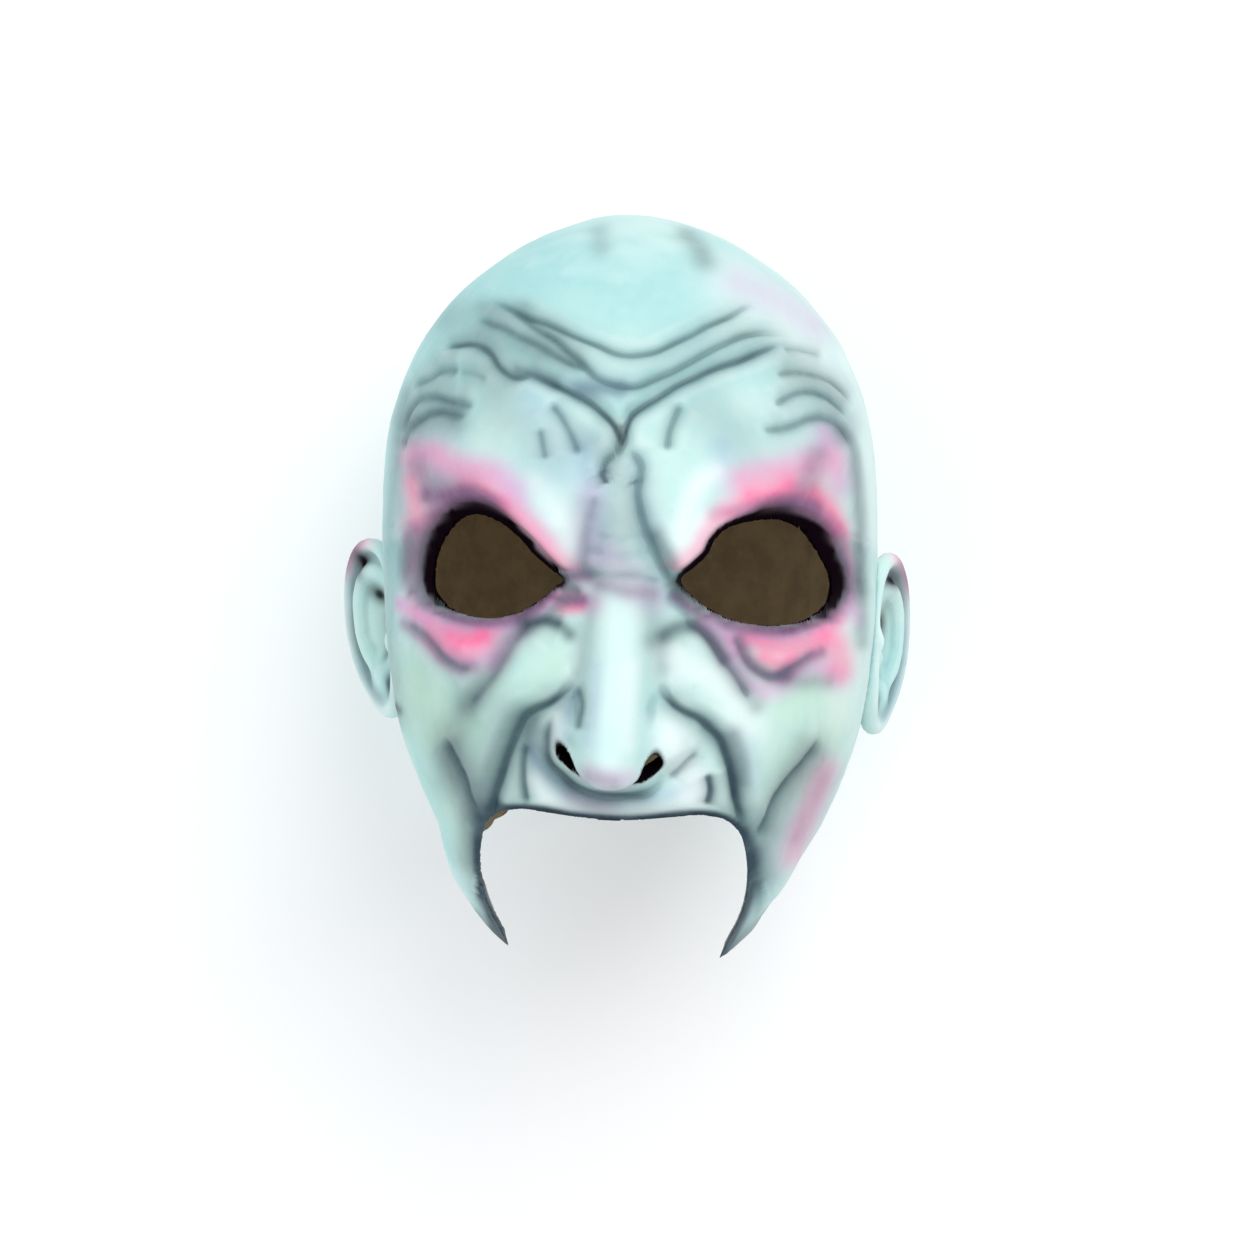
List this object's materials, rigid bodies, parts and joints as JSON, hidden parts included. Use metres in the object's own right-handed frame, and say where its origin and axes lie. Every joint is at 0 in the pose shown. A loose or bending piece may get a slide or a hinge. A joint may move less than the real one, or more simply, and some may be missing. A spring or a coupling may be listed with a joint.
{
  "type": "latex vampire mask",
  "caption": "Hollow over-the-head vampire mask of cast latex: bald scowling face, hooked nose, open eyes, ears and no chin, lying face up.",
  "frame": {"origin": "middle of the underside of the bounding box, on the ground that the back of the head lies on", "axes": "+Z out of the face, +Y to the crown of the head, +X to the right of someone looking at the face"},
  "size_m": [0.172, 0.2146, 0.2217],
  "materials": {
    "latex": "satin cast latex, airbrushed in pink and grey"
  },
  "bodies": {
    "root": {"latex_mask": "latex"}
  },
  "joints": []
}
